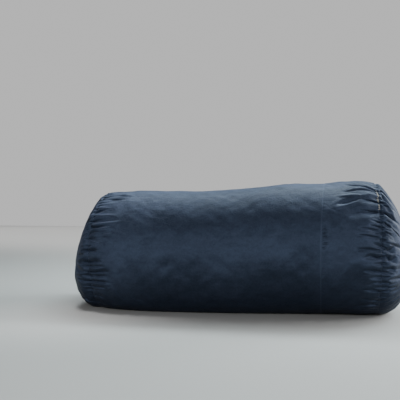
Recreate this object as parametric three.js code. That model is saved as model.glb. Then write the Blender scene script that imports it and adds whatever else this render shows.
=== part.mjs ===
// A long cylindrical bean bag lying on its side, its length along X and its underside at Z = 0.
// Four pieces of plush cloth, each with its filling: a long sleeve, a shorter and fuller band, and
// a domed round panel at each end. All sizes are in millimetres.

import * as THREE from 'three';

// Places of the seams along X, and how the cloth is drawn in at each
const seams = {
  left: { x: -768, tuck: 9 },
  middle: { x: 481, tuck: 5 },
  right: { x: 757, tuck: 10 },
};
const seamGap = 0.3;
const tuckWidth = 9;

// Cross-sections of the sleeve and the band, from left to right. The foot is half the flat
// stretch that lies on the floor.
const sections = [
  { x: -768, height: 642, halfDepth: 336, widestAt: 270, foot: 185 },
  { x: -712, height: 648, halfDepth: 368, widestAt: 275, foot: 215 },
  { x: -630, height: 650, halfDepth: 388, widestAt: 280, foot: 238 },
  { x: -420, height: 650, halfDepth: 400, widestAt: 282, foot: 257 },
  { x: -20, height: 661, halfDepth: 395, widestAt: 290, foot: 220 },
  { x: 280, height: 685, halfDepth: 386, widestAt: 305, foot: 170 },
  { x: 481, height: 690, halfDepth: 385, widestAt: 312, foot: 130 },
  { x: 580, height: 702, halfDepth: 385, widestAt: 322, foot: 108 },
  { x: 680, height: 709, halfDepth: 378, widestAt: 325, foot: 100 },
  { x: 757, height: 697, halfDepth: 345, widestAt: 312, foot: 84 },
];

// A section runs round in turns: 0 at the top, a quarter at the front, a half underneath.
// Its crown and its side are rounded arcs, squarer with a higher power.
const crownPower = 2.15;
const sidePower = 2.1;
const crownShare = 0.23;
const sideShare = 0.2;

// How far each seam wanders along X at the top, at mid height and at the floor
const bows = [
  { seam: 'left', top: 18, middle: 0, bottom: 34 },
  { seam: 'middle', top: 0, middle: -18, bottom: -18 },
  { seam: 'right', top: -8, middle: 0, bottom: -10 },
];
const bowReach = 150;

// The domed end panels: how far each stands out, the height of its middle, and how full it is
// above and below that middle
const ends = {
  left: { side: -1, bulge: 157, middle: 240, high: [1.9, 1.35], low: [3.2, 2.4] },
  right: { side: 1, bulge: 168, middle: 260, high: [2, 1.45], low: [2.3, 2.1] },
};
const panelRadius = 400;
const lipRise = 0.02;
const lipReach = 0.035;

// Gathers along the seams: how many go round, how high they stand and how far they run
const gathers = [
  { piece: 'main_sleeve', seam: 'left', folds: 34, rise: 8, reach: 120, shift: 0.13 },
  { piece: 'main_sleeve', seam: 'middle', folds: 28, rise: 2, reach: 30, shift: 0.71 },
  { piece: 'right_band', seam: 'middle', folds: 34, rise: 4, reach: 45, shift: 0.37 },
  { piece: 'right_band', seam: 'right', folds: 34, rise: 9, reach: 120, shift: 0.59 },
  { piece: 'left_end_panel', seam: 'left', folds: 30, rise: 5, reach: 90, shift: 0.83 },
  { piece: 'right_end_panel', seam: 'right', folds: 30, rise: 7, reach: 110, shift: 0.29 },
];
const floorFade = 60;

// Main folds. A fold runs from one place to another, each place a distance from a seam towards
// the piece's middle and a turn round the bag. A valley has a rise below zero.
const folds = [
  { piece: 'main_sleeve', seam: 'left', from: [79, 0.068], to: [150, 0.08], rise: -7, width: 13 },
  { piece: 'main_sleeve', seam: 'left', from: [107, 0.043], to: [199, 0.065], rise: -6, width: 13 },
  { piece: 'main_sleeve', seam: 'left', from: [40, 0.121], to: [221, 0.146], rise: -9, width: 19 },
  { piece: 'main_sleeve', seam: 'left', from: [15, 0.158], to: [183, 0.151], rise: 9, width: 15 },
  { piece: 'main_sleeve', seam: 'left', from: [90, 0.162], to: [183, 0.178], rise: 7, width: 13 },
  { piece: 'main_sleeve', seam: 'left', from: [20, 0.3], to: [94, 0.337], rise: -6, width: 13 },
  { piece: 'main_sleeve', seam: 'left', from: [8, 0.345], to: [69, 0.37], rise: -10, width: 15 },
  { piece: 'main_sleeve', seam: 'left', from: [270, 0.315], to: [349, 0.351], rise: -5, width: 26 },
  { piece: 'main_sleeve', seam: 'left', from: [400, 0.246], to: [524, 0.222], rise: -5, width: 28 },
  { piece: 'right_band', seam: 'right', from: [10, 0.074], to: [143, 0.118], rise: 10, width: 17 },
  { piece: 'right_band', seam: 'right', from: [143, 0.118], to: [260, 0.148], rise: 8, width: 17 },
  { piece: 'right_band', seam: 'right', from: [168, 0.101], to: [262, 0.123], rise: -8, width: 14 },
  { piece: 'right_band', seam: 'right', from: [5, 0.071], to: [137, 0.041], rise: -12, width: 16 },
  { piece: 'right_band', seam: 'right', from: [18, 0.083], to: [216, 0.094], rise: -8, width: 13 },
  { piece: 'right_band', seam: 'right', from: [23, 0.175], to: [137, 0.178], rise: -6, width: 13 },
  { piece: 'right_band', seam: 'right', from: [15, 0.213], to: [137, 0.217], rise: -8, width: 13 },
  { piece: 'right_band', seam: 'right', from: [5, 0.32], to: [160, 0.31], rise: -6, width: 14 },
  { piece: 'right_band', seam: 'right', from: [13, 0.333], to: [158, 0.345], rise: -6, width: 14 },
  { piece: 'left_end_panel', seam: 'left', from: [5, 0.14], to: [120, 0.14], rise: -9, width: 16 },
  { piece: 'left_end_panel', seam: 'left', from: [10, 0.33], to: [90, 0.36], rise: -11, width: 16 },
  { piece: 'right_end_panel', seam: 'right', from: [3, 0.089], to: [90, 0.09], rise: -13, width: 15 },
  { piece: 'right_end_panel', seam: 'right', from: [3, 0.11], to: [110, 0.115], rise: 9, width: 16 },
  { piece: 'right_end_panel', seam: 'right', from: [3, 0.13], to: [90, 0.134], rise: -14, width: 15 },
  { piece: 'right_end_panel', seam: 'right', from: [3, 0.158], to: [90, 0.164], rise: -9, width: 12 },
];

// The mesh: points round a ring, and where the rings lie, as distances from a seam. A panel's
// rings are given as shares of the way from its rim to its middle.
const ringPoints = { fine: 168, middling: 84, coarse: 42 };
const sleeveRings = {
  gathered: [0, 12, 30, 55, 85, 120],
  plain: 13,
  seamed: [30, 12, 0],
};
const bandRings = [0, 12, 32, 62, 98, 136, 174, 206, 232, 252, 266, 276];
const panelRings = [
  { points: ringPoints.fine, shares: [0, 0.012, 0.035, 0.075, 0.13, 0.2] },
  { points: ringPoints.middling, shares: [0.29, 0.4, 0.53] },
  { points: ringPoints.coarse, shares: [0.68, 0.84] },
];

const cloth = { color: 0x33425c, roughness: 0.92, metalness: 0 };

// Value of a column at a place, on a smooth line through the rows of the section table
function columnAt(column, x) {
  const last = sections.length - 1;
  const place = THREE.MathUtils.clamp(x, sections[0].x, sections[last].x);
  const i = Math.max(sections.findIndex((row) => row.x >= place) - 1, 0);
  const slopeAt = (k) => {
    const before = sections[Math.max(k - 1, 0)];
    const after = sections[Math.min(k + 1, last)];
    return (after[column] - before[column]) / (after.x - before.x);
  };
  const span = sections[i + 1].x - sections[i].x;
  const t = (place - sections[i].x) / span;
  const start = sections[i][column];
  const rise = sections[i + 1][column] - start;
  const ease = t * t * (3 - 2 * t);
  const leave = t * (1 - t) * (1 - t) * span * slopeAt(i);
  const arrive = t * t * (1 - t) * span * slopeAt(i + 1);
  return start + rise * ease + leave - arrive;
}

// A point of the plain cross-section at x
function sectionPoint(x, turn) {
  const height = columnAt('height', x);
  const halfDepth = columnAt('halfDepth', x);
  const widestAt = columnAt('widestAt', x);
  const foot = columnAt('foot', x);
  const fromTop = Math.min(turn, 1 - turn);
  const side = turn <= 0.5 ? -1 : 1;
  if (fromTop <= crownShare) {
    const angle = (fromTop / crownShare) * (Math.PI / 2);
    const out = Math.pow(Math.sin(angle), 2 / crownPower);
    const up = Math.pow(Math.abs(Math.cos(angle)), 2 / crownPower);
    return { y: side * halfDepth * out, z: widestAt + (height - widestAt) * up, height };
  }
  const downSide = Math.min((fromTop - crownShare) / sideShare, 1);
  const underneath = Math.max(fromTop - crownShare - sideShare, 0) / (0.5 - crownShare - sideShare);
  const angle = downSide * (Math.PI / 2);
  const out = Math.pow(Math.abs(Math.cos(angle)), 2 / sidePower);
  const down = Math.pow(Math.sin(angle), 2 / sidePower);
  const y = (foot + (halfDepth - foot) * out) * (1 - underneath);
  return { y: side * y, z: widestAt * (1 - down), height };
}

// How far the seams' wandering moves a point along X, by its share of the section's height
function bowAt(x, heightShare) {
  const level = 2 * heightShare - 1;
  let shift = 0;
  for (const row of bows) {
    const away = x - seams[row.seam].x;
    const beyond = (row.seam === 'left' && away < 0) || (row.seam === 'right' && away > 0);
    const weight = beyond ? 1 : Math.exp(-((away / bowReach) ** 2));
    const high = row.top * Math.max(level, 0) ** 2;
    const low = row.bottom * Math.max(-level, 0) ** 2;
    shift += weight * (row.middle * (1 - level * level) + high + low);
  }
  return shift;
}

// A point of the sleeve or band without its folds, drawn in at the seams
function sleeveBase(x, turn) {
  const { y, z, height } = sectionPoint(x, turn);
  const widestAt = columnAt('widestAt', x);
  let tuck = 0;
  for (const seam of Object.values(seams)) {
    tuck += seam.tuck * Math.exp(-Math.abs(x - seam.x) / tuckWidth);
  }
  const reach = Math.hypot(y, z - widestAt);
  const drawn = 1 - tuck / reach;
  const shift = bowAt(x, z / height);
  return new THREE.Vector3(x + shift, y * drawn, widestAt + (z - widestAt) * drawn);
}

// A point of a domed end panel without its folds. The share is 0 at the rim and 1 at the middle.
function panelBase(end, share, turn) {
  const form = ends[end];
  const rimX = seams[end].x;
  const rim = sleeveBase(rimX, turn);
  const { z, height } = sectionPoint(rimX, turn);
  const above = Math.max(z - form.middle, 0) / (height - form.middle);
  const below = Math.max(form.middle - z, 0) / form.middle;
  const ease = THREE.MathUtils.smoothstep(above - below, -1, 1);
  const across = THREE.MathUtils.lerp(form.low[0], form.high[0], ease);
  const round = THREE.MathUtils.lerp(form.low[1], form.high[1], ease);
  const inward = 1 - share;
  const out = form.bulge * Math.pow(1 - Math.pow(inward, across), 1 / round);
  const lip = 1 + lipRise * (share / lipReach) * Math.exp(1 - share / lipReach);
  const spread = inward * lip;
  const x = rimX + (rim.x - rimX) * inward * inward + form.side * out;
  return new THREE.Vector3(x, rim.y * spread, form.middle + (rim.z - form.middle) * spread);
}

// Rise and fall of one row of gathers: round ridges, sharp valleys, none quite like the next
function gatherRise(row, distance, turn) {
  const swing = (times) => Math.sin(2 * Math.PI * (times * turn + times * row.shift));
  const drift = 0.4 * swing(3) + 0.25 * swing(7);
  const wave = 2 * Math.abs(Math.sin(Math.PI * (row.folds * turn + drift))) - 1;
  const strength = 0.65 + 0.35 * swing(5);
  const reach = row.reach * (0.75 + 0.25 * swing(4));
  const away = distance / (0.28 * reach);
  return row.rise * strength * wave * away * Math.exp(1 - away);
}

// Rise of one main fold at a place on its piece. It swells from its ends to its middle.
function foldRise(row, distance, turn, perimeter) {
  const alongFold = row.to[0] - row.from[0];
  const aroundFold = (row.to[1] - row.from[1]) * perimeter;
  const along = distance - row.from[0];
  const around = (turn - row.from[1]) * perimeter;
  const length = Math.hypot(alongFold, aroundFold);
  const share = (along * alongFold + around * aroundFold) / (length * length);
  const aside = (around * alongFold - along * aroundFold) / length;
  const beyond = Math.max(-share, share - 1, 0) * length;
  const swell = 0.55 + 0.45 * Math.sin(Math.PI * THREE.MathUtils.clamp(share, 0, 1));
  return row.rise * swell * Math.exp(-(aside ** 2 + beyond ** 2) / row.width ** 2);
}

// Height of all the folds at a place, as distances from the seams that bound the piece
function reliefAt(piece, distances, turn, perimeter) {
  let rise = 0;
  for (const row of gathers.filter((entry) => entry.piece === piece)) {
    rise += gatherRise(row, distances[row.seam], turn);
  }
  for (const row of folds.filter((entry) => entry.piece === piece)) {
    rise += foldRise(row, distances[row.seam], turn, perimeter);
  }
  return rise;
}

// Moves a point out along the surface by the height of the folds, and leaves it on the floor
// where it lies there
function raise(base, along, turn, step, rise) {
  const point = base(along, turn);
  const turnStep = 0.001;
  const heart = new THREE.Vector3(THREE.MathUtils.clamp(point.x, -600, 600), 0, 300);
  const acrossSurface = base(along + step, turn).sub(base(along - step, turn));
  const roundSurface = base(along, (turn + turnStep) % 1).sub(base(along, (turn - turnStep + 1) % 1));
  const normal = acrossSurface.cross(roundSurface).normalize();
  if (normal.dot(point.clone().sub(heart)) < 0) {
    normal.negate();
  }
  const fade = THREE.MathUtils.smoothstep(point.z, 0, floorFade);
  return point.addScaledVector(normal, rise * fade);
}

const perimeterAt = (x) => Math.PI * (columnAt('height', x) / 2 + columnAt('halfDepth', x));

// A ring of points of the sleeve or the band at x. On a seam it keeps the seam's own line.
function sleeveRing(piece, x, count) {
  const distances = {};
  for (const [name, seam] of Object.entries(seams)) {
    distances[name] = Math.abs(x - seam.x);
  }
  const onSeam = Math.min(...Object.values(distances)) <= seamGap;
  const ring = [];
  for (let i = 0; i < count; i += 1) {
    const turn = i / count;
    const rise = onSeam ? 0 : reliefAt(piece, distances, turn, perimeterAt(x));
    ring.push(raise(sleeveBase, x, turn, 1, rise));
  }
  return ring;
}

// A ring of points of an end panel
function panelRing(piece, end, share, count) {
  const base = (at, turn) => panelBase(end, THREE.MathUtils.clamp(at, 0, 1), turn);
  const distances = { [end]: share * panelRadius };
  const perimeter = perimeterAt(seams[end].x) * (1 - share);
  const ring = [];
  for (let i = 0; i < count; i += 1) {
    const turn = i / count;
    const rise = share === 0 ? 0 : reliefAt(piece, distances, turn, perimeter);
    const point = raise(base, share, turn, 0.002, rise);
    point.x += ends[end].side * (seamGap / 2);
    ring.push(point);
  }
  return ring;
}

// The middle of the flat face that a piece turns to its neighbour at a seam
function seamMiddle(x) {
  return [new THREE.Vector3(x, 0, columnAt('widestAt', x))];
}

// Skins two neighbouring rings, which may have different numbers of points
function skin(indices, first, second) {
  let i = 0;
  let j = 0;
  while (i < first.count || j < second.count) {
    const firstIsBehind = (i + 1) * second.count <= (j + 1) * first.count;
    const stepFirst = j >= second.count || (i < first.count && firstIsBehind);
    const a = first.start + (i % first.count);
    const b = second.start + (j % second.count);
    if (stepFirst) {
      if (first.count > 1) {
        indices.push(a, first.start + ((i + 1) % first.count), b);
      }
      i += 1;
    } else {
      if (second.count > 1) {
        indices.push(a, second.start + ((j + 1) % second.count), b);
      }
      j += 1;
    }
  }
}

// One closed piece from its rings, in order along X, the first and last a single point
function closedPiece(name, rings) {
  const positions = [];
  const indices = [];
  let before = null;
  for (const ring of rings) {
    const entry = { start: positions.length / 3, count: ring.length };
    for (const point of ring) {
      positions.push(point.x, point.y, Math.max(point.z, 0));
    }
    if (before) {
      skin(indices, before, entry);
    }
    before = entry;
  }
  const geometry = new THREE.BufferGeometry();
  geometry.setAttribute('position', new THREE.Float32BufferAttribute(positions, 3));
  geometry.setIndex(indices);
  geometry.computeVertexNormals();
  const mesh = new THREE.Mesh(geometry, new THREE.MeshStandardMaterial(cloth));
  mesh.name = name;
  return mesh;
}

function mainSleeve() {
  const piece = 'main_sleeve';
  const start = seams.left.x + seamGap / 2;
  const end = seams.middle.x - seamGap / 2;
  const rings = [seamMiddle(start)];
  for (const distance of sleeveRings.gathered) {
    rings.push(sleeveRing(piece, start + distance, ringPoints.fine));
  }
  const plainStart = start + sleeveRings.gathered.at(-1);
  const plainEnd = end - sleeveRings.seamed[0];
  for (let i = 1; i < sleeveRings.plain; i += 1) {
    const x = THREE.MathUtils.lerp(plainStart, plainEnd, i / sleeveRings.plain);
    rings.push(sleeveRing(piece, x, ringPoints.middling));
  }
  for (const distance of sleeveRings.seamed) {
    rings.push(sleeveRing(piece, end - distance, ringPoints.fine));
  }
  rings.push(seamMiddle(end));
  return closedPiece(piece, rings);
}

function rightBand() {
  const piece = 'right_band';
  const start = seams.middle.x + seamGap / 2;
  const end = seams.right.x - seamGap / 2;
  const rings = [seamMiddle(start)];
  for (const distance of bandRings) {
    rings.push(sleeveRing(piece, Math.min(start + distance, end), ringPoints.fine));
  }
  rings.push(seamMiddle(end));
  return closedPiece(piece, rings);
}

function endPanel(piece, end) {
  const { side, bulge, middle } = ends[end];
  const rimX = seams[end].x + side * (seamGap / 2);
  const rings = [seamMiddle(rimX)];
  for (const row of panelRings) {
    for (const share of row.shares) {
      rings.push(panelRing(piece, end, share, row.points));
    }
  }
  rings.push([new THREE.Vector3(rimX + side * bulge, 0, middle)]);
  return closedPiece(piece, side > 0 ? rings : rings.reverse());
}

const beanBag = new THREE.Group();
beanBag.add(endPanel('left_end_panel', 'left'));
beanBag.add(mainSleeve());
beanBag.add(rightBand());
beanBag.add(endPanel('right_end_panel', 'right'));

export default beanBag;
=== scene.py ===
import math

import bpy
import numpy as np
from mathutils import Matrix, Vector


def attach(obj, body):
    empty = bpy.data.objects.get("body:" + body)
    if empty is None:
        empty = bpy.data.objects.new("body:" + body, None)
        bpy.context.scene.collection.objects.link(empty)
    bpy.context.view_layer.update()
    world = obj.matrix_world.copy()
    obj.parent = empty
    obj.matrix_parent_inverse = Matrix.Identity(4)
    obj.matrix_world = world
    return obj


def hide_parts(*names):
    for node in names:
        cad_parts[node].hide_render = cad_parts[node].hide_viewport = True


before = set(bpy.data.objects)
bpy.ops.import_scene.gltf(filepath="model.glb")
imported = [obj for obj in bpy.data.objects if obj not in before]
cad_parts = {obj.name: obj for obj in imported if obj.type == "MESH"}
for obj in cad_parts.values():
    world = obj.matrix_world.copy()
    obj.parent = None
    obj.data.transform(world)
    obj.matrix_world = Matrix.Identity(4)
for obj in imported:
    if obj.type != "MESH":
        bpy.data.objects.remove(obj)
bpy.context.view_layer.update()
print("frame loaded")

# The bag lies along X with its underside on Z = 0, and all sizes are in metres.
# A turn goes from 0 on top through 0.25 in front and 0.5 underneath to 0.75 at the back.
bag = {
    "sectionX": [-0.768, -0.712, -0.630, -0.420, -0.020, 0.280, 0.481, 0.580, 0.680, 0.757],
    "height": [0.642, 0.648, 0.650, 0.650, 0.661, 0.685, 0.690, 0.702, 0.707, 0.688],
    "halfDepth": [0.336, 0.368, 0.388, 0.400, 0.395, 0.386, 0.385, 0.385, 0.378, 0.345],
    "widestAt": [0.270, 0.275, 0.280, 0.282, 0.290, 0.305, 0.312, 0.322, 0.325, 0.312],
    "foot": [0.185, 0.215, 0.238, 0.257, 0.220, 0.170, 0.130, 0.108, 0.100, 0.084],
    "crownPower": 2.15,
    "crownShare": 0.23,
    "sidePower": 2.1,
    "sideShare": 0.2,
    "floorFade": 0.05,
    "heart": {"endX": 0.6, "height": 0.3},
    "columns": 480,
    "plainRings": 100,
    "gatheredStep": 0.006,
}
seams = {
    "left": {"x": -0.768, "tuck": 0.0008, "top": 0.018, "middle": 0.0, "bottom": 0.034},
    "middle": {"x": 0.481, "tuck": 0.0006, "top": 0.0, "middle": -0.018, "bottom": -0.018},
    "right": {"x": 0.757, "tuck": 0.0020, "top": -0.008, "middle": 0.0, "bottom": -0.010},
}
sewing = {
    "gap": 0.00015,
    "tuckWidth": 0.007,
    "bowReach": 0.150,
    "hem": 0.014,
    "flat": 0.008,
    "shared": 0.010,
    "rubWidth": 0.004,
    "softAngle": 60,
}
panels = {
    "left": {"side": -1, "bulge": 0.157, "middle": 0.240, "high": [1.9, 1.35], "low": [3.2, 2.4]},
    "right": {"side": 1, "bulge": 0.168, "middle": 0.260, "high": [2.0, 1.38], "low": [2.3, 2.1]},
    "radius": 0.400,
    "lipRise": 0.02,
    "lipReach": 0.035,
    "poleRise": 0.0006,
    "innerRings": [
        {"thin": 1, "at": [0.249, 0.258, 0.267, 0.276, 0.285]},
        {"thin": 2, "at": [0.297, 0.309, 0.321, 0.333]},
        {"thin": 4, "at": [0.346, 0.359, 0.372, 0.386]},
    ],
}


def smooth(t):
    t = np.clip(t, 0, 1)
    return t * t * (3 - 2 * t)


# One measure of the bag at any x, on a smooth curve through its sections
def columnAt(column, x):
    at = np.array(bag["sectionX"])
    values = np.array(bag[column])
    slopes = np.gradient(values)
    slopes[1:-1] = (values[2:] - values[:-2]) / (at[2:] - at[:-2])
    slopes[0] = (values[1] - values[0]) / (at[1] - at[0])
    slopes[-1] = (values[-1] - values[-2]) / (at[-1] - at[-2])
    place = np.clip(x, at[0], at[-1])
    i = np.clip(np.searchsorted(at, place) - 1, 0, len(values) - 2)
    span = at[i + 1] - at[i]
    t = (place - at[i]) / span
    enter = t * (1 - t) ** 2 * span * slopes[i]
    leave = t * t * (1 - t) * span * slopes[i + 1]
    return values[i] + (values[i + 1] - values[i]) * smooth(t) + enter - leave


# Outline of the bag across its length: a round crown, drawn-in sides and a flat foot
def sectionPoint(x, turn):
    height = columnAt("height", x)
    halfDepth = columnAt("halfDepth", x)
    widestAt = columnAt("widestAt", x)
    foot = columnAt("foot", x)
    turn = turn % 1
    fromTop = np.minimum(turn, 1 - turn)
    side = np.where(turn <= 0.5, -1.0, 1.0)
    crown = bag["crownShare"]
    flank = bag["sideShare"]
    high = np.clip(fromTop / crown, 0, 1) * math.pi / 2
    low = np.clip((fromTop - crown) / flank, 0, 1) * math.pi / 2
    under = np.clip((fromTop - crown - flank) / (0.5 - crown - flank), 0, 1)
    crownPower = 2 / bag["crownPower"]
    sidePower = 2 / bag["sidePower"]
    yHigh = halfDepth * np.sin(high) ** crownPower
    zHigh = widestAt + (height - widestAt) * np.abs(np.cos(high)) ** crownPower
    yLow = (foot + (halfDepth - foot) * np.abs(np.cos(low)) ** sidePower) * (1 - under)
    zLow = widestAt * (1 - np.sin(low) ** sidePower)
    onCrown = fromTop <= crown
    return side * np.where(onCrown, yHigh, yLow), np.where(onCrown, zHigh, zLow)


# How far the seams and the cloth beside them bow along the bag, by their height
def bowAt(x, heightShare):
    level = 2 * heightShare - 1
    shift = 0
    for name, seam in seams.items():
        away = x - seam["x"]
        weight = np.exp(-((away / sewing["bowReach"]) ** 2))
        if name == "left":
            weight = np.where(away < 0, 1, weight)
        if name == "right":
            weight = np.where(away > 0, 1, weight)
        high = seam["top"] * np.clip(level, 0, None) ** 2
        low = seam["bottom"] * np.clip(-level, 0, None) ** 2
        shift = shift + weight * (seam["middle"] * (1 - level * level) + high + low)
    return shift


# Plain surface of the sleeve and the band, with a small tuck at each seam
def sleeveBase(x, turn):
    y, z = sectionPoint(x, turn)
    widestAt = columnAt("widestAt", x)
    tuck = 0
    for seam in seams.values():
        tuck = tuck + seam["tuck"] * np.exp(-np.abs(x - seam["x"]) / sewing["tuckWidth"])
    drawn = 1 - tuck / np.hypot(y, z - widestAt)
    shift = bowAt(x, z / columnAt("height", x))
    return np.stack([x + shift, y * drawn, widestAt + (z - widestAt) * drawn], -1)


# Plain surface of an end panel, a dome from its rim at share 0 to its pole at share 1
def panelBase(end, share, turn):
    form = panels[end]
    rimX = np.full_like(share, seams[end]["x"])
    rim = sleeveBase(rimX, turn)
    z = sectionPoint(rimX, turn)[1]
    above = np.clip(z - form["middle"], 0, None) / (columnAt("height", rimX) - form["middle"])
    below = np.clip(form["middle"] - z, 0, None) / form["middle"]
    ease = smooth((above - below + 1) / 2)
    across = form["low"][0] + (form["high"][0] - form["low"][0]) * ease
    roundTo = form["low"][1] + (form["high"][1] - form["low"][1]) * ease
    inward = 1 - np.clip(share, 0, 1)
    out = form["bulge"] * np.clip(1 - inward ** across, 0, 1) ** (1 / roundTo)
    lipShare = share / panels["lipReach"]
    spread = inward * (1 + panels["lipRise"] * lipShare * np.exp(1 - lipShare))
    x = rimX + (rim[..., 0] - rimX) * inward ** 2 + form["side"] * out
    z = form["middle"] + (rim[..., 2] - form["middle"]) * spread
    return np.stack([x, rim[..., 1] * spread, z], -1)


# Gathers: rows of small folds in several sizes that run out from a sewn edge
gatherShape = {
    "widths": [0.5, 1.5],
    "rises": [0.4, 1.3],
    "reaches": [0.6, 1.2],
    "lean": 0.05,
    "leanWaves": 4,
    "crest": 0.8,
    "fadeShare": 0.6,
    "fadePower": 1.5,
    "levelShare": 0.5,
    "sewnShare": 0.3,
    "freeShare": 0.7,
}
gathers = {
    "main_sleeve": {
        "left": [
            {"count": 96, "rise": 0.0022, "peak": 0.008, "reach": 0.090},
            {"count": 50, "rise": 0.0036, "peak": 0.018, "reach": 0.160},
            {"count": 22, "rise": 0.0034, "peak": 0.050, "reach": 0.200},
        ],
    },
    "right_band": {
        "middle": [{"count": 130, "rise": 0.0012, "peak": 0.008, "reach": 0.035}],
        "right": [
            {"count": 110, "rise": 0.0020, "peak": 0.008, "reach": 0.100},
            {"count": 56, "rise": 0.0026, "peak": 0.020, "reach": 0.150},
            {"count": 21, "rise": 0.0034, "peak": 0.055, "reach": 0.190},
        ],
    },
    "left_end_panel": {
        "left": [
            {"count": 90, "rise": 0.0010, "peak": 0.008, "reach": 0.050},
            {"count": 40, "rise": 0.0012, "peak": 0.024, "reach": 0.110},
        ],
    },
    "right_end_panel": {
        "right": [
            {"count": 90, "rise": 0.0014, "peak": 0.008, "reach": 0.055},
            {"count": 40, "rise": 0.0026, "peak": 0.024, "reach": 0.120},
            {"count": 18, "rise": 0.0030, "peak": 0.050, "reach": 0.200},
        ],
    },
}

# Main folds: how far from the seam and at which turn each begins and ends, its rise and its width.
# One that begins at the seam begins nearly full. A hanging fold is steep on the side that faces up
# and wide on the side that faces down.
foldColumns = ["from", "fromTurn", "to", "toTurn", "rise", "width"]
foldShape = {
    "seamReach": 0.025,
    "seamShare": 0.6,
    "rampIn": 2.5,
    "rampOut": 2.0,
    "narrow": 0.7,
    "widen": 0.6,
}
folds = {
    "main_sleeve": {
        "seam": "left",
        "hang": [0.8, 1.6],
        "rows": [
            [0.045, 0.0750, 0.190, 0.0810, -0.009, 0.006],
            [0.080, 0.0560, 0.240, 0.0680, -0.008, 0.006],
            [0.015, 0.1080, 0.120, 0.1130, 0.004, 0.012],
            [0.005, 0.1320, 0.170, 0.1330, 0.008, 0.011],
            [0.010, 0.1470, 0.240, 0.1440, -0.006, 0.010],
            [0.010, 0.1560, 0.210, 0.1510, 0.010, 0.009],
            [0.010, 0.1680, 0.180, 0.1640, 0.013, 0.010],
            [0.070, 0.1800, 0.190, 0.1780, 0.009, 0.009],
            [0.010, 0.1880, 0.110, 0.1930, -0.006, 0.010],
            [0.030, 0.2220, 0.230, 0.2200, 0.003, 0.050],
            [0.030, 0.2620, 0.210, 0.2620, -0.009, 0.060],
            [0.000, 0.2110, 0.075, 0.2110, -0.007, 0.006],
            [0.000, 0.2330, 0.105, 0.2320, -0.008, 0.006],
            [0.000, 0.2420, 0.120, 0.2430, -0.006, 0.005],
            [0.000, 0.2560, 0.150, 0.2550, -0.008, 0.006],
            [0.000, 0.2660, 0.130, 0.2670, -0.007, 0.005],
            [0.000, 0.2820, 0.150, 0.2830, -0.009, 0.006],
            [0.000, 0.2960, 0.120, 0.2970, -0.007, 0.006],
            [0.000, 0.3040, 0.094, 0.3400, -0.004, 0.012],
            [0.000, 0.3540, 0.069, 0.3730, -0.005, 0.016],
            [0.270, 0.3180, 0.349, 0.3540, -0.004, 0.022],
            [0.400, 0.2490, 0.524, 0.2250, -0.004, 0.024],
        ],
    },
    "right_band": {
        "seam": "right",
        "hang": [0.95, 1.2],
        "rows": [
            [0.000, 0.0710, 0.215, 0.0420, -0.013, 0.012],
            [0.010, 0.0785, 0.260, 0.0845, -0.011, 0.009],
            [0.005, 0.0920, 0.090, 0.1010, 0.007, 0.011],
            [0.050, 0.1000, 0.270, 0.1010, 0.008, 0.011],
            [0.060, 0.1040, 0.270, 0.1330, -0.012, 0.010],
            [0.090, 0.1160, 0.270, 0.1440, 0.008, 0.009],
            [0.000, 0.1130, 0.120, 0.1150, -0.008, 0.016],
            [0.000, 0.1400, 0.200, 0.1480, -0.017, 0.030],
            [0.015, 0.1810, 0.137, 0.1810, -0.007, 0.007],
            [0.015, 0.1950, 0.137, 0.1950, -0.006, 0.006],
            [0.015, 0.2180, 0.137, 0.2200, -0.007, 0.007],
            [0.000, 0.2280, 0.090, 0.2290, -0.008, 0.006],
            [0.000, 0.2550, 0.097, 0.2550, -0.007, 0.006],
            [0.000, 0.2970, 0.090, 0.2950, -0.006, 0.006],
            [0.005, 0.3230, 0.160, 0.3130, -0.006, 0.009],
            [0.013, 0.3360, 0.158, 0.3480, -0.006, 0.009],
        ],
    },
    "left_end_panel": {
        "rows": [
            [0.005, 0.1380, 0.100, 0.1330, -0.008, 0.013],
            [0.000, 0.3540, 0.034, 0.3490, -0.012, 0.012],
        ],
    },
    "right_end_panel": {
        "rows": [
            [0.000, 0.0830, 0.065, 0.1110, -0.019, 0.015],
            [0.000, 0.1060, 0.080, 0.1320, 0.010, 0.011],
            [0.000, 0.1300, 0.065, 0.1450, -0.015, 0.014],
            [0.000, 0.1500, 0.110, 0.1580, 0.007, 0.016],
            [0.000, 0.1610, 0.034, 0.1695, -0.007, 0.0035],
            [0.016, 0.1660, 0.066, 0.1745, -0.006, 0.0035],
            [0.044, 0.1710, 0.105, 0.1785, -0.006, 0.004],
            [0.000, 0.2150, 0.045, 0.2170, -0.012, 0.009],
            [0.000, 0.2310, 0.050, 0.2330, -0.014, 0.010],
            [0.000, 0.2480, 0.040, 0.2500, -0.012, 0.009],
        ],
    },
}
puckers = {
    "seam": "middle",
    "from": 0.002,
    "reach": 0.046,
    "reaches": [0.5, 1],
    "fromTurn": 0.176,
    "toTurn": 0.214,
    "drift": 0.002,
    "count": 5,
    "rise": -0.0040,
    "rises": [0.6, 1.2],
    "width": 0.0040,
}

# Soft unevenness of the filling: how tight its waves are along and around, how many, and how high
fillWaves = [
    {"along": 9, "around": 5, "waves": 14, "rise": 0.0030},
    {"along": 26, "around": 14, "waves": 20, "rise": 0.0016},
    {"along": 70, "around": 60, "waves": 26, "rise": 0.0007},
]
fillSpread = [0.4, 1.3]


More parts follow.
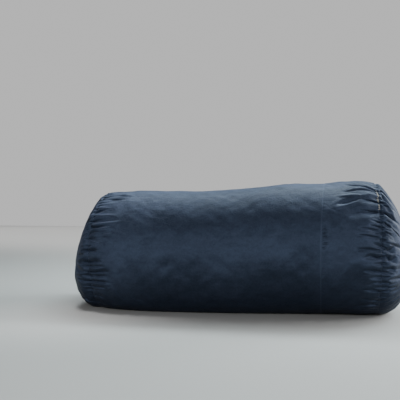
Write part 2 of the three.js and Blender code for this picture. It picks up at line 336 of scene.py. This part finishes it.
def gatherRise(rows, distance, turn, rng):
    total = np.zeros(np.broadcast(distance, turn).shape)
    for row in rows:
        widths = rng.uniform(*gatherShape["widths"], row["count"])
        edges = np.concatenate([[0], np.cumsum(widths)]) / widths.sum()
        lean = 0
        for wave in range(gatherShape["leanWaves"]):
            swing = rng.uniform(-1, 1) * gatherShape["lean"] / (wave + 1)
            lean = lean + swing * np.sin(2 * math.pi * ((3 * wave + 2) * turn + rng.uniform(0, 1)))
        moved = (turn + lean * distance) % 1
        which = np.clip(np.searchsorted(edges, moved, side="right") - 1, 0, row["count"] - 1)
        share = (moved - edges[which]) / (edges[which + 1] - edges[which])
        rise = row["rise"] * widths * rng.uniform(*gatherShape["rises"], row["count"])
        reach = row["reach"] * rng.uniform(*gatherShape["reaches"], row["count"])
        ridge = rise[which] * np.abs(np.sin(math.pi * share)) ** gatherShape["crest"]
        away = np.clip(distance / row["peak"], 0, 1)
        beyond = np.clip(distance - row["peak"], 0, None) / gatherShape["fadeShare"]
        ridge = ridge * np.exp(-((beyond / reach[which]) ** gatherShape["fadePower"]))
        level = np.exp(-((beyond / row["reach"]) ** gatherShape["fadePower"]))
        level = gatherShape["levelShare"] * row["rise"] * level
        grown = gatherShape["sewnShare"] + gatherShape["freeShare"] * away * (2 - away)
        total += (ridge - level) * grown
    return total


def foldRise(rows, distance, turn, perimeter, above=1, below=1):
    total = np.zeros(np.broadcast(distance, turn).shape)
    for row in rows:
        fold = dict(zip(foldColumns, row))
        lengthwise = fold["to"] - fold["from"]
        sideways = (fold["toTurn"] - fold["fromTurn"]) * perimeter
        along = distance - fold["from"]
        around = (turn - fold["fromTurn"]) * perimeter
        length = np.hypot(lengthwise, sideways)
        share = (along * lengthwise + around * sideways) / length ** 2
        aside = (around * lengthwise - along * sideways) / length
        beyond = np.maximum(np.maximum(-share, share - 1), 0) * length
        start = foldShape["seamShare"] if fold["from"] < foldShape["seamReach"] else 0
        rampIn = share * foldShape["rampIn"] + start
        rampOut = (1 - share) * foldShape["rampOut"]
        taper = smooth(np.minimum(rampIn, rampOut))
        width = fold["width"] * (foldShape["narrow"] + foldShape["widen"] * np.clip(share, 0, 1))
        width = width * np.where(aside * fold["rise"] > 0, below, above)
        total += fold["rise"] * taper * np.exp(-(aside ** 2 + beyond ** 2) / width ** 2)
    return total


def puckerRise(x, turn, perimeter):
    rng = np.random.default_rng(5)
    rows = []
    for turnAt in np.linspace(puckers["fromTurn"], puckers["toTurn"], puckers["count"]):
        start = turnAt + rng.uniform(-puckers["drift"], puckers["drift"])
        reach = puckers["reach"] * rng.uniform(*puckers["reaches"])
        rise = puckers["rise"] * rng.uniform(*puckers["rises"])
        end = start + rng.uniform(-puckers["drift"], puckers["drift"])
        rows.append([puckers["from"], start, reach, end, rise, puckers["width"]])
    return foldRise(rows, x - seams[puckers["seam"]]["x"], turn, perimeter)


def fillRise(point):
    rng = np.random.default_rng(8)
    total = 0
    for level in fillWaves:
        for wave in range(level["waves"]):
            along = level["along"] * rng.uniform(*fillSpread) * rng.choice([-1, 1])
            across = level["around"] * rng.uniform(*fillSpread) * rng.choice([-1, 1])
            upward = level["around"] * rng.uniform(*fillSpread)
            phase = rng.uniform(0, 2 * math.pi)
            swing = np.sin(along * point[..., 0] + across * point[..., 1] + upward * point[..., 2] + phase)
            total = total + level["rise"] * swing / math.sqrt(level["waves"])
    return total


# The plain surface lifted along its normals, away from the heart of the filling and off the floor
def raisedRows(base, place, turn, step, rise):
    nudge = 0.0005
    point = base(place, turn)
    across = base(place + step, turn) - base(place - step, turn)
    around = base(place, turn + nudge) - base(place, turn - nudge)
    normal = np.cross(across, around)
    normal /= np.maximum(np.linalg.norm(normal, axis=-1, keepdims=True), 1e-12)
    heartX = np.clip(point[..., 0], -bag["heart"]["endX"], bag["heart"]["endX"])
    heart = np.stack([heartX, 0 * point[..., 1], 0 * point[..., 2] + bag["heart"]["height"]], -1)
    outward = np.where((normal * (point - heart)).sum(-1, keepdims=True) < 0, -1, 1)
    lifted = (rise + fillRise(point)) * smooth(point[..., 2] / bag["floorFade"])
    moved = point + normal * outward * lifted[..., None]
    moved[..., 2] = np.maximum(moved[..., 2], 0)
    return moved


def sleeveRows(name, places, count):
    turn = np.tile(np.arange(count) / count, (len(places), 1))
    x = np.asarray(places)[:, None] + 0 * turn
    perimeter = math.pi * (columnAt("height", x) / 2 + columnAt("halfDepth", x))
    main = folds[name]
    rise = foldRise(main["rows"], np.abs(x - seams[main["seam"]]["x"]), turn, perimeter, *main["hang"])
    for index, (seam, rows) in enumerate(gathers[name].items()):
        rng = np.random.default_rng(11 + index)
        rise += gatherRise(rows, np.abs(x - seams[seam]["x"]), turn, rng)
    if name == "right_band":
        rise += puckerRise(x, turn, perimeter)
    rise *= 1 - np.exp(-(((x - seams["middle"]["x"]) / sewing["flat"]) ** 2))
    return raisedRows(sleeveBase, x, turn, 0.001, rise)


# Beyond an end seam, a place is the seam's x and the distance that the cloth runs on from it
def panelRows(name, end, places, count):
    turn = np.tile(np.arange(count) / count, (len(places), 1))
    seamX = seams[end]["x"]
    distance = np.abs(np.asarray(places) - seamX)[:, None] + 0 * turn
    share = distance / panels["radius"]
    rimX = np.full_like(share, seamX)
    perimeter = math.pi * (columnAt("height", rimX) / 2 + columnAt("halfDepth", rimX)) * (1 - share)
    rise = gatherRise(gathers[name][end], distance, turn, np.random.default_rng(11))
    rise += foldRise(folds[name]["rows"], distance, turn, perimeter)

    def base(at, around):
        return panelBase(end, at, around)

    raised = raisedRows(base, share, turn, 0.002, rise)
    sleeve = "main_sleeve" if end == "left" else "right_band"
    ringMove = sleeveRows(sleeve, [seamX], count) - sleeveBase(rimX[:1], turn[:1])
    nearSeam = np.exp(-((distance / sewing["shared"]) ** 2))[..., None]
    plain = base(share, turn)
    return plain + (raised - plain) * (1 - nearSeam) + ringMove * nearSeam


def partRows(name, places, count):
    if name == "left_end_panel":
        return panelRows(name, "left", places, count)
    if name == "right_end_panel":
        return panelRows(name, "right", places, count)
    return sleeveRows(name, places, count)


# Rows stand close together at a seam and further apart away from it
def spacedRows(length, first=0.0015, largest=0.009, growth=1.25):
    places = [0.0]
    step = first
    while places[-1] + step < length:
        places.append(places[-1] + step)
        step = min(step * growth, largest)
    return np.array(places) * length / places[-1]


# The cloth at a gathered seam is cut longer than the seam. It is settled by simulation, with the
# sleeve and the panel in one sheet, and its movement is kept for the finished pieces.
settling = {
    "frames": 12,
    "quality": 4,
    "mass": 0.3,
    "tension": 20,
    "shear": 5,
    "bending": 2,
    "pressure": 3.5,
    "slack": {"left": [0.08, 0.14], "right": [0.16, 0.26]},
    "slackReach": 0.085,
    "seamHold": {"left": 0.4, "right": 0.4, "middle": 0.9},
    "seamSlack": {"left": 0.4, "right": 0.4, "middle": 0},
    "endHold": [1, 1, 0.8, 0.6],
    "endFade": 0.15,
    "lowFade": 0.12,
    "lowStart": 0.3,
    "swellWaves": 9,
    "floorFrom": 0.02,
    "floorReach": 0.08,
    "leastHold": 0.02,
    "largestMove": {"left": 0.010, "right": 0.020},
    "reach": 0.24,
    "sleeveReach": 0.31,
    "besideMiddle": 0.10,
}


def selectOnly(piece):
    bpy.ops.object.select_all(action="DESELECT")
    piece.select_set(True)
    bpy.context.view_layer.objects.active = piece


def slackSheet(rows):
    count = rows.shape[1]
    first = np.arange(len(rows) - 1)[:, None] * count
    here = np.arange(count)[None, :]
    after = (here + 1) % count
    quads = np.stack([first + here, first + after, first + count + after, first + count + here], -1)
    mesh = bpy.data.meshes.new("slackSheet")
    mesh.from_pydata(rows.reshape(-1, 3).tolist(), [], quads.reshape(-1, 4).tolist())
    sheet = bpy.data.objects.new("slackSheet", mesh)
    bpy.context.collection.objects.link(sheet)
    selectOnly(sheet)
    return sheet


def settledMove(rows, slack, hold, largest):
    sheet = slackSheet(rows)
    count = rows.shape[1]
    tight = sheet.vertex_groups.new(name="tight")
    for index, share in enumerate(slack / slack.max()):
        tight.add(list(range(index * count, (index + 1) * count)), float(1 - share), "REPLACE")
    held = sheet.vertex_groups.new(name="held")
    for index in np.flatnonzero(hold.reshape(-1) > settling["leastHold"]):
        held.add([int(index)], float(hold.reshape(-1)[index]), "REPLACE")
    modifier = sheet.modifiers.new("cloth", "CLOTH")
    cloth = modifier.settings
    cloth.quality = settling["quality"]
    cloth.mass = settling["mass"]
    cloth.tension_stiffness = settling["tension"]
    cloth.compression_stiffness = settling["tension"]
    cloth.shear_stiffness = settling["shear"]
    cloth.bending_stiffness = settling["bending"]
    cloth.vertex_group_mass = "held"
    cloth.vertex_group_shrink = "tight"
    cloth.shrink_min = -float(slack.max())
    cloth.shrink_max = 0
    cloth.use_pressure = True
    cloth.uniform_pressure_force = settling["pressure"]
    cloth.effector_weights.gravity = 0
    modifier.collision_settings.use_collision = False
    modifier.point_cache.frame_end = settling["frames"]
    for number in range(1, settling["frames"] + 1):
        bpy.context.scene.frame_set(number)
    bpy.ops.object.modifier_apply(modifier="cloth")
    settled = np.empty(rows.size, np.float32)
    sheet.data.vertices.foreach_get("co", settled)
    bpy.context.scene.frame_set(1)
    bpy.data.objects.remove(sheet)
    move = settled.reshape(rows.shape).astype(float) - rows
    far = np.maximum(np.linalg.norm(move, axis=-1, keepdims=True), 1e-9)
    print("cloth settled, mean move in mm", (far.mean() * 1000).round(1))
    return move * largest * np.tanh(far / largest) / far


def settledZone(end, parts):
    rows = np.concatenate([partRows(name, places, bag["columns"]) for name, places in parts])
    places = np.concatenate([places for name, places in parts])
    before, after = settling["slack"][end]
    away = places - seams[end]["x"]
    slack = np.where(away < 0, before, after) * np.exp(-((away / settling["slackReach"]) ** 2))
    hold = np.zeros(len(places))
    for name, seam in seams.items():
        atSeam = np.abs(places - seam["x"]) < 1e-6
        slack[atSeam] *= settling["seamSlack"][name]
        hold[atSeam] = settling["seamHold"][name]
    for index, weight in enumerate(settling["endHold"]):
        hold[index] = weight
        hold[-1 - index] = weight
    nearFloor = 1 - smooth((rows[..., 2] - settling["floorFrom"]) / settling["floorReach"])
    move = settledMove(rows, slack, np.maximum(hold[:, None], nearFloor), settling["largestMove"][end])
    waves = np.fft.rfft(move, axis=1)
    waves *= 1 - np.exp(-((np.arange(waves.shape[1]) / settling["swellWaves"]) ** 2))[None, :, None]
    folded = np.fft.irfft(waves, n=bag["columns"], axis=1)
    fromEnd = np.minimum(places - places[0], places[-1] - places)
    aboveFloor = smooth(rows[..., 2] / settling["lowFade"] - settling["lowStart"])
    fade = smooth(fromEnd / settling["endFade"])[:, None] * aboveFloor
    return {"places": places, "move": folded * fade[..., None]}


# Values between rows or columns on a smooth curve, closed in a ring where it wraps
def cubicAt(values, index, wraps):
    low = np.floor(index).astype(int)
    t = (index - low)[:, None, None]
    weights = [
        -0.5 * t + t ** 2 - 0.5 * t ** 3,
        1 - 2.5 * t ** 2 + 1.5 * t ** 3,
        0.5 * t + 2 * t ** 2 - 1.5 * t ** 3,
        -0.5 * t ** 2 + 0.5 * t ** 3,
    ]
    total = 0
    for step, weight in enumerate(weights):
        at = low + step - 1
        at = at % len(values) if wraps else np.clip(at, 0, len(values) - 1)
        total = total + values[at] * weight
    return total


def settledRows(name, places, count):
    rows = partRows(name, places, count)
    for zone in zones:
        index = np.interp(places, zone["places"], np.arange(len(zone["places"])))
        move = cubicAt(zone["move"], index, False)
        around = cubicAt(move.swapaxes(0, 1), np.arange(count) * bag["columns"] / count, True)
        rows += around.swapaxes(0, 1)
    rows[..., 2] = np.maximum(rows[..., 2], 0)
    return rows


leftX = seams["left"]["x"]
middleX = seams["middle"]["x"]
rightX = seams["right"]["x"]
bandHalf = spacedRows((rightX - middleX) / 2, largest=bag["gatheredStep"])
bandPlaces = np.concatenate([middleX + bandHalf, rightX - bandHalf[-2::-1]])
fromSeam = spacedRows(settling["reach"])
zones = []
zones.append(settledZone("left", [
    ("left_end_panel", leftX - fromSeam[:0:-1]),
    ("main_sleeve", leftX + spacedRows(settling["sleeveReach"])),
]))
zones.append(settledZone("right", [
    ("main_sleeve", middleX - spacedRows(settling["besideMiddle"])[:0:-1]),
    ("right_band", bandPlaces),
    ("right_end_panel", rightX + fromSeam[1:]),
]))


# Faces between two rings, where one may have one point or twice the points of the other
def skinFaces(first, second):
    a, n = first
    b, m = second
    if n == 1:
        return [(a, b + (j + 1) % m, b + j) for j in range(m)]
    if m == 1:
        return [(a + i, a + (i + 1) % n, b) for i in range(n)]
    if n == m:
        return [(a + i, a + (i + 1) % n, b + (i + 1) % n, b + i) for i in range(n)]
    faces = []
    if n > m:
        for j in range(m):
            i = 2 * j
            faces.append((a + i, a + i + 1, b + j))
            faces.append((a + i + 1, a + (i + 2) % n, b + (j + 1) % m, b + j))
    else:
        for i in range(n):
            j = 2 * i
            faces.append((a + i, b + j + 1, b + j))
            faces.append((a + i, a + (i + 1) % n, b + (j + 2) % m, b + j + 1))
    return faces


def closedPiece(title, rings):
    faces = []
    before = None
    start = 0
    for ring in rings:
        entry = (start, len(ring))
        if before:
            faces += skinFaces(before, entry)
        before = entry
        start += len(ring)
    mesh = bpy.data.meshes.new(title)
    mesh.from_pydata(np.concatenate(rings).tolist(), [], faces)
    mesh.validate()
    mesh.polygons.foreach_set("use_smooth", [True] * len(mesh.polygons))
    piece = bpy.data.objects.new(title, mesh)
    bpy.context.collection.objects.link(piece)
    selectOnly(piece)
    bpy.ops.object.shade_smooth_by_angle(angle=math.radians(sewing["softAngle"]))
    return piece


# The cloth turns in at a seam: a hem row further in, and then the cut face across the filling
def seamEnd(row, x):
    middle = np.array([[x, 0, float(columnAt("widestAt", np.array([x]))[0])]])
    inward = row - middle
    inward[:, 0] = 0
    inward /= np.linalg.norm(inward, axis=1, keepdims=True)
    return [middle, row - inward * sewing["hem"]]


def closedSleeve(title, rings, startX, endX):
    rings[0][:, 0] += sewing["gap"]
    rings[-1][:, 0] -= sewing["gap"]
    start = seamEnd(rings[0], startX + sewing["gap"])
    end = seamEnd(rings[-1], endX - sewing["gap"])
    return closedPiece(title, start + rings + end[::-1])


def makeMainSleeve():
    count = bag["columns"]
    gathered = leftX + spacedRows(settling["reach"], largest=bag["gatheredStep"])
    last = middleX - spacedRows(settling["besideMiddle"] / 2)[::-1]
    plain = np.linspace(gathered[-1], last[0], bag["plainRings"])[1:-1]
    rings = list(settledRows("main_sleeve", gathered, 2 * count))
    rings += list(settledRows("main_sleeve", plain, count))
    rings += list(settledRows("main_sleeve", last, count))
    return closedSleeve("mainSleeve", rings, leftX, middleX)


def makeRightBand():
    rings = list(settledRows("right_band", bandPlaces, 2 * bag["columns"]))
    return closedSleeve("rightBand", rings, middleX, rightX)


def makeEndPanel(title, name, end):
    count = bag["columns"]
    side = panels[end]["side"]
    seamX = seams[end]["x"]
    bands = [(2 * count, spacedRows(settling["reach"], largest=bag["gatheredStep"]))]
    for band in panels["innerRings"]:
        bands.append((count // band["thin"], np.array(band["at"])))
    rings = []
    for points, distances in bands:
        order = distances if side > 0 else distances[::-1]
        rows = settledRows(name, seamX + side * order, points)
        rings += list(rows if side > 0 else rows[::-1])
    rings[0][:, 0] += side * sewing["gap"]
    pole = rings[-1].mean(axis=0, keepdims=True) + [[side * panels["poleRise"], 0, 0]]
    rings = seamEnd(rings[0], seamX + side * sewing["gap"]) + rings + [pole]
    return closedPiece(title, rings[::side])


# The sewn edges of the sleeve and the band are rubbed a little paler
def rubMiddleSeam(piece):
    mesh = piece.data
    points = np.empty(len(mesh.vertices) * 3, np.float32)
    mesh.vertices.foreach_get("co", points)
    points = points.reshape(-1, 3).astype(float)
    seamX = np.full(len(points), middleX)
    line = seamX + bowAt(seamX, points[:, 2] / columnAt("height", seamX))
    rub = np.exp(-(((points[:, 0] - line) / sewing["rubWidth"]) ** 2))
    mesh.attributes.new("seamRub", "FLOAT", "POINT").data.foreach_set("value", rub.astype(np.float32))


pieces = {
    "main_sleeve": makeMainSleeve(),
    "right_band": makeRightBand(),
    "left_end_panel": makeEndPanel("leftEndPanel", "left_end_panel", "left"),
    "right_end_panel": makeEndPanel("rightEndPanel", "right_end_panel", "right"),
}
rubMiddleSeam(pieces["main_sleeve"])
rubMiddleSeam(pieces["right_band"])
print("cloth pieces made")

# Short brushed plush: navy, with a nap that lies lighter and darker in crushed patches. Its colour also
# carries painted shade and painted highlight by which way the surface faces: darker under the sides and in
# a band below the crown, lighter along the front and on the crown.
plush = {
    "dark": (0.029, 0.039, 0.065, 1),
    "light": (0.046, 0.060, 0.099, 1),
    "worn": (0.048, 0.063, 0.104, 1),
    "roughness": 0.52,
    "specular": 0.1,
    "specularTint": (0.6, 0.8, 1, 1),
    # How far noise patches shift the edges of the painted shade and painted highlight
    "paintedShadeBreakup": 0.26,
    "along": 0.45,
    "nap": {"scale": 30, "detail": 5, "distortion": 0.6},
    "crushed": {"scale": 75, "detail": 3, "distortion": 1.2},
    "patch": {"scale": 9, "detail": 5, "distortion": 0.5},
    "pile": {"scale": 500, "detail": 2, "distortion": 0},
    "crushedShare": 0.5,
    "patchShare": 0.3,
    "darkUpTo": 0.38,
    "lightFrom": 0.62,
    "napBump": {"strength": 0.6, "distance": 0.006},
    "pileBump": {"strength": 0.35, "distance": 0.001},
    # Painted shade and painted highlight: a factor on the colour by which way the surface faces, from
    # underneath at 0 to the crown at 1
    "paintedShadeByFacing": [
        [0.0, 0.50], [0.25, 0.47], [0.4, 0.62], [0.5, 1.08], [0.55, 1.28], [0.6, 1.28],
        [0.68, 1.14], [0.73, 0.98], [0.78, 0.97], [0.83, 1.28], [0.88, 1.50], [0.93, 1.45], [1.0, 1.20],
    ],
}


def newMaterial(name, roughness):
    material = bpy.data.materials.new(name)
    material.use_nodes = True
    material.node_tree.nodes["Principled BSDF"].inputs["Roughness"].default_value = roughness
    return material


def addNoise(nodes, links, place, grain):
    noise = nodes.new("ShaderNodeTexNoise")
    noise.inputs["Scale"].default_value = grain["scale"]
    noise.inputs["Detail"].default_value = grain["detail"]
    noise.inputs["Distortion"].default_value = grain["distortion"]
    links.new(place, noise.inputs["Vector"])
    return noise.outputs["Fac"]


def addBump(nodes, links, height, relief):
    bump = nodes.new("ShaderNodeBump")
    bump.inputs["Strength"].default_value = relief["strength"]
    bump.inputs["Distance"].default_value = relief["distance"]
    links.new(height, bump.inputs["Height"])
    return bump


def addMix(nodes, links, share, first, second):
    mix = nodes.new("ShaderNodeMix")
    mix.inputs["Factor"].default_value = share
    links.new(first, mix.inputs["A"])
    links.new(second, mix.inputs["B"])
    return mix.outputs["Result"]


# Painted shade and painted highlight on the base colour, by which way the surface faces, with noise
# patches that break up its edges. The ramp holds each value halved, to keep it below 1, and the result is
# doubled.
def addPaintedShade(nodes, links, coordinates, patch):
    facing = nodes.new("ShaderNodeSeparateXYZ")
    links.new(coordinates.outputs["Normal"], facing.inputs["Vector"])
    # The facing, shifted by noise patches so that the painted shade has cloudy edges
    crushed = nodes.new("ShaderNodeMath")
    crushed.operation = "MULTIPLY_ADD"
    crushed.inputs[1].default_value = plush["paintedShadeBreakup"]
    links.new(patch, crushed.inputs[0])
    links.new(facing.outputs["Z"], crushed.inputs[2])
    share = nodes.new("ShaderNodeMapRange")
    share.inputs["From Min"].default_value = plush["paintedShadeBreakup"] / 2 - 1
    share.inputs["From Max"].default_value = plush["paintedShadeBreakup"] / 2 + 1
    links.new(crushed.outputs["Value"], share.inputs["Value"])
    shade = nodes.new("ShaderNodeValToRGB")
    elements = shade.color_ramp.elements
    for index, (at, value) in enumerate(plush["paintedShadeByFacing"]):
        element = elements[0] if index == 0 else elements.new(at)
        element.position = at
        element.color = (value / 2, value / 2, value / 2, 1)
    elements.remove(elements[-1])
    doubled = nodes.new("ShaderNodeMath")
    doubled.operation = "MULTIPLY"
    doubled.inputs[1].default_value = 2
    links.new(share.outputs["Result"], shade.inputs["Fac"])
    links.new(shade.outputs["Color"], doubled.inputs[0])
    return doubled.outputs["Value"]


def makePlush():
    material = newMaterial("navyPlush", plush["roughness"])
    nodes = material.node_tree.nodes
    links = material.node_tree.links
    shader = nodes["Principled BSDF"]
    shader.inputs["Specular IOR Level"].default_value = plush["specular"]
    shader.inputs["Specular Tint"].default_value = plush["specularTint"]
    coordinates = nodes.new("ShaderNodeTexCoord")
    place = coordinates.outputs["Object"]
    stretched = nodes.new("ShaderNodeMapping")
    stretched.inputs["Scale"].default_value = (plush["along"], 1, 1)
    links.new(place, stretched.inputs["Vector"])
    nap = addNoise(nodes, links, stretched.outputs["Vector"], plush["nap"])
    crushed = addNoise(nodes, links, place, plush["crushed"])
    patch = addNoise(nodes, links, stretched.outputs["Vector"], plush["patch"])
    napBlend = addMix(nodes, links, plush["crushedShare"], nap, crushed)
    patchBlend = addMix(nodes, links, plush["patchShare"], napBlend, patch)
    napRamp = nodes.new("ShaderNodeValToRGB")
    napRamp.color_ramp.elements[0].position = plush["darkUpTo"]
    napRamp.color_ramp.elements[0].color = plush["dark"]
    napRamp.color_ramp.elements[1].position = plush["lightFrom"]
    napRamp.color_ramp.elements[1].color = plush["light"]
    links.new(patchBlend, napRamp.inputs["Fac"])
    seamRub = nodes.new("ShaderNodeAttribute")
    seamRub.attribute_name = "seamRub"
    rubbed = nodes.new("ShaderNodeMix")
    rubbed.data_type = "RGBA"
    rubbed.inputs[7].default_value = plush["worn"]
    links.new(seamRub.outputs["Fac"], rubbed.inputs["Factor"])
    links.new(napRamp.outputs["Color"], rubbed.inputs[6])
    # The nap colour scaled by the painted shade and painted highlight
    shaded = nodes.new("ShaderNodeVectorMath")
    shaded.operation = "SCALE"
    links.new(rubbed.outputs[2], shaded.inputs[0])
    links.new(addPaintedShade(nodes, links, coordinates, patch), shaded.inputs["Scale"])
    links.new(shaded.outputs["Vector"], shader.inputs["Base Color"])
    napBump = addBump(nodes, links, napBlend, plush["napBump"])
    pile = addNoise(nodes, links, place, plush["pile"])
    pileBump = addBump(nodes, links, pile, plush["pileBump"])
    links.new(napBump.outputs["Normal"], pileBump.inputs["Normal"])
    links.new(pileBump.outputs["Normal"], shader.inputs["Normal"])
    return material


navyPlush = makePlush()
for node, piece in pieces.items():
    piece.data.materials.append(navyPlush)
    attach(piece, "root")
    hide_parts(node)
print("plush on")

# Loose overlocking thread that shows in two places at the top of the right seam
thread = {
    "runs": [[0.066, 0.110], [0.119, 0.131]],
    "stitch": 0.0045,
    "reach": 0.007,
    "radius": 0.0011,
    "above": 0.0016,
    "colour": (0.62, 0.58, 0.5, 1),
    "shade": 0.6,
    "roughness": 0.8,
    "twist": {"scale": 900, "detail": 2, "distortion": 0},
    "measuredAt": 60,
    "roundness": 2,
}


def makeCotton():
    cotton = newMaterial("creamThread", thread["roughness"])
    nodes = cotton.node_tree.nodes
    links = cotton.node_tree.links
    coordinates = nodes.new("ShaderNodeTexCoord")
    twist = addNoise(nodes, links, coordinates.outputs["Object"], thread["twist"])
    shades = nodes.new("ShaderNodeValToRGB")
    shades.color_ramp.elements[0].color = [thread["shade"] * value for value in thread["colour"][:3]] + [1]
    shades.color_ramp.elements[1].color = thread["colour"]
    links.new(twist, shades.inputs["Fac"])
    links.new(shades.outputs["Color"], nodes["Principled BSDF"].inputs["Base Color"])
    return cotton


def pointOn(row, turn):
    turns = np.arange(bag["columns"]) / bag["columns"]
    return np.stack([np.interp(turn, turns, row[:, axis]) for axis in range(3)], -1)


# The thread zigzags between the seam and a row of the band beside it
def makeThread():
    edge = settledRows("right_band", np.array([rightX - thread["reach"], rightX]), bag["columns"])
    curve = bpy.data.curves.new("overlockThread", "CURVE")
    curve.dimensions = "3D"
    curve.bevel_depth = thread["radius"]
    curve.bevel_resolution = thread["roundness"]
    curve.use_fill_caps = True
    for fromTurn, toTurn in thread["runs"]:
        line = pointOn(edge[1], np.linspace(fromTurn, toTurn, thread["measuredAt"]))
        length = np.linalg.norm(np.diff(line, axis=0), axis=1).sum()
        count = int(length / thread["stitch"]) + 1
        spline = curve.splines.new("POLY")
        spline.points.add(count - 1)
        for index, turn in enumerate(np.linspace(fromTurn, toTurn, count)):
            point = pointOn(edge[index % 2], turn)
            outward = np.array([0, point[1], point[2] - float(columnAt("widestAt", rightX))])
            point += outward / np.linalg.norm(outward) * thread["above"]
            spline.points[index].co = (*point, 1)
    piece = bpy.data.objects.new("overlockThread", curve)
    bpy.context.collection.objects.link(piece)
    selectOnly(piece)
    bpy.ops.object.convert(target="MESH")
    piece = bpy.context.object
    bpy.ops.object.shade_smooth()
    piece.data.materials.append(makeCotton())
    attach(piece, "root")


makeThread()
print("thread sewn")

studio = {
    "camera": {"place": (0.469, -3.388, 0.600), "tilt": 90, "turn": 11.5, "lens": 54, "sensor": 36},
    "floor": {"size": 19, "colour": (0.6, 0.6, 0.59, 1), "roughness": 0.8},
    "room": {"colour": (1, 1, 1, 1), "strength": 0.1, "seen": 0.62},
    "lights": [
        {"name": "backWindow", "place": (-0.1, 1.8, 3.3), "aim": (-0.1, 0, 0.5),
         "size": (4.2, 0.7), "power": 112, "colour": (0.84, 0.97, 1)},
        {"name": "overheadLight", "place": (0.8, 1.2, 3.6), "aim": (0.1, 0, 0.5),
         "size": (1.6, 1.6), "power": 52, "colour": (0.84, 0.97, 1)},
        {"name": "backRightLight", "place": (3.0, 1.8, 3.0), "aim": (0.3, 0, 0.4),
         "size": (1.6, 1.6), "power": 108, "colour": (0.84, 0.97, 1)},
        {"name": "frontWindow", "place": (0, -4.2, 1.6), "aim": (0, 0, 0.35),
         "size": (6.0, 0.6), "power": 69},
        {"name": "rightLight", "place": (3.4, 0.3, 1.3), "aim": (0.9, 0, 0.35),
         "size": (1.2, 1.2), "power": 66},
        {"name": "lowRightLight", "place": (2.8, 1.6, 1.2), "aim": (0.9, 0, 0.35),
         "size": (1.2, 1.2), "power": 26},
        {"name": "leftTopLight", "place": (-1.05, -0.35, 3.0), "aim": (-0.86, -0.50, 0.35),
         "size": (0.6, 0.6), "power": 0.95, "spread": 24},
        {"name": "farFloorLight", "place": (0, 6.6, 3), "aim": (0, 6.8, 0),
         "size": (16, 7), "power": 330, "spread": 90},
    ],
}


def addCamera(setting):
    camera = bpy.data.objects.new("camera", bpy.data.cameras.new("camera"))
    camera.location = setting["place"]
    camera.rotation_euler = (math.radians(setting["tilt"]), 0, math.radians(setting["turn"]))
    camera.data.lens = setting["lens"]
    camera.data.sensor_width = setting["sensor"]
    bpy.context.collection.objects.link(camera)
    bpy.context.scene.camera = camera


def addFloor(setting):
    bpy.ops.object.select_all(action="DESELECT")
    bpy.ops.mesh.primitive_plane_add(size=setting["size"], location=(0, 0, 0))
    floor = bpy.context.object
    floor.name = "studioFloor"
    paint = newMaterial("floorPaint", setting["roughness"])
    paint.node_tree.nodes["Principled BSDF"].inputs["Base Color"].default_value = setting["colour"]
    floor.data.materials.append(paint)


def addLight(setting):
    light = bpy.data.lights.new(setting["name"], "AREA")
    light.shape = "RECTANGLE"
    light.size = setting["size"][0]
    light.size_y = setting["size"][1]
    light.energy = setting["power"]
    light.color = setting.get("colour", (1, 1, 1))
    light.spread = math.radians(setting.get("spread", 180))
    lamp = bpy.data.objects.new(setting["name"], light)
    lamp.location = setting["place"]
    direction = Vector(setting["aim"]) - Vector(setting["place"])
    lamp.rotation_euler = direction.to_track_quat("-Z", "Y").to_euler()
    bpy.context.collection.objects.link(lamp)


def addRoom(setting):
    room = bpy.context.scene.world or bpy.data.worlds.new("room")
    bpy.context.scene.world = room
    room.use_nodes = True
    nodes = room.node_tree.nodes
    links = room.node_tree.links
    nodes["Background"].inputs["Color"].default_value = setting["colour"]
    seen = nodes.new("ShaderNodeMapRange")
    seen.inputs["To Min"].default_value = setting["strength"]
    seen.inputs["To Max"].default_value = setting["seen"]
    links.new(nodes.new("ShaderNodeLightPath").outputs["Is Camera Ray"], seen.inputs["Value"])
    links.new(seen.outputs["Result"], nodes["Background"].inputs["Strength"])


addCamera(studio["camera"])
addFloor(studio["floor"])
for setting in studio["lights"]:
    addLight(setting)
addRoom(studio["room"])
print("studio lit")
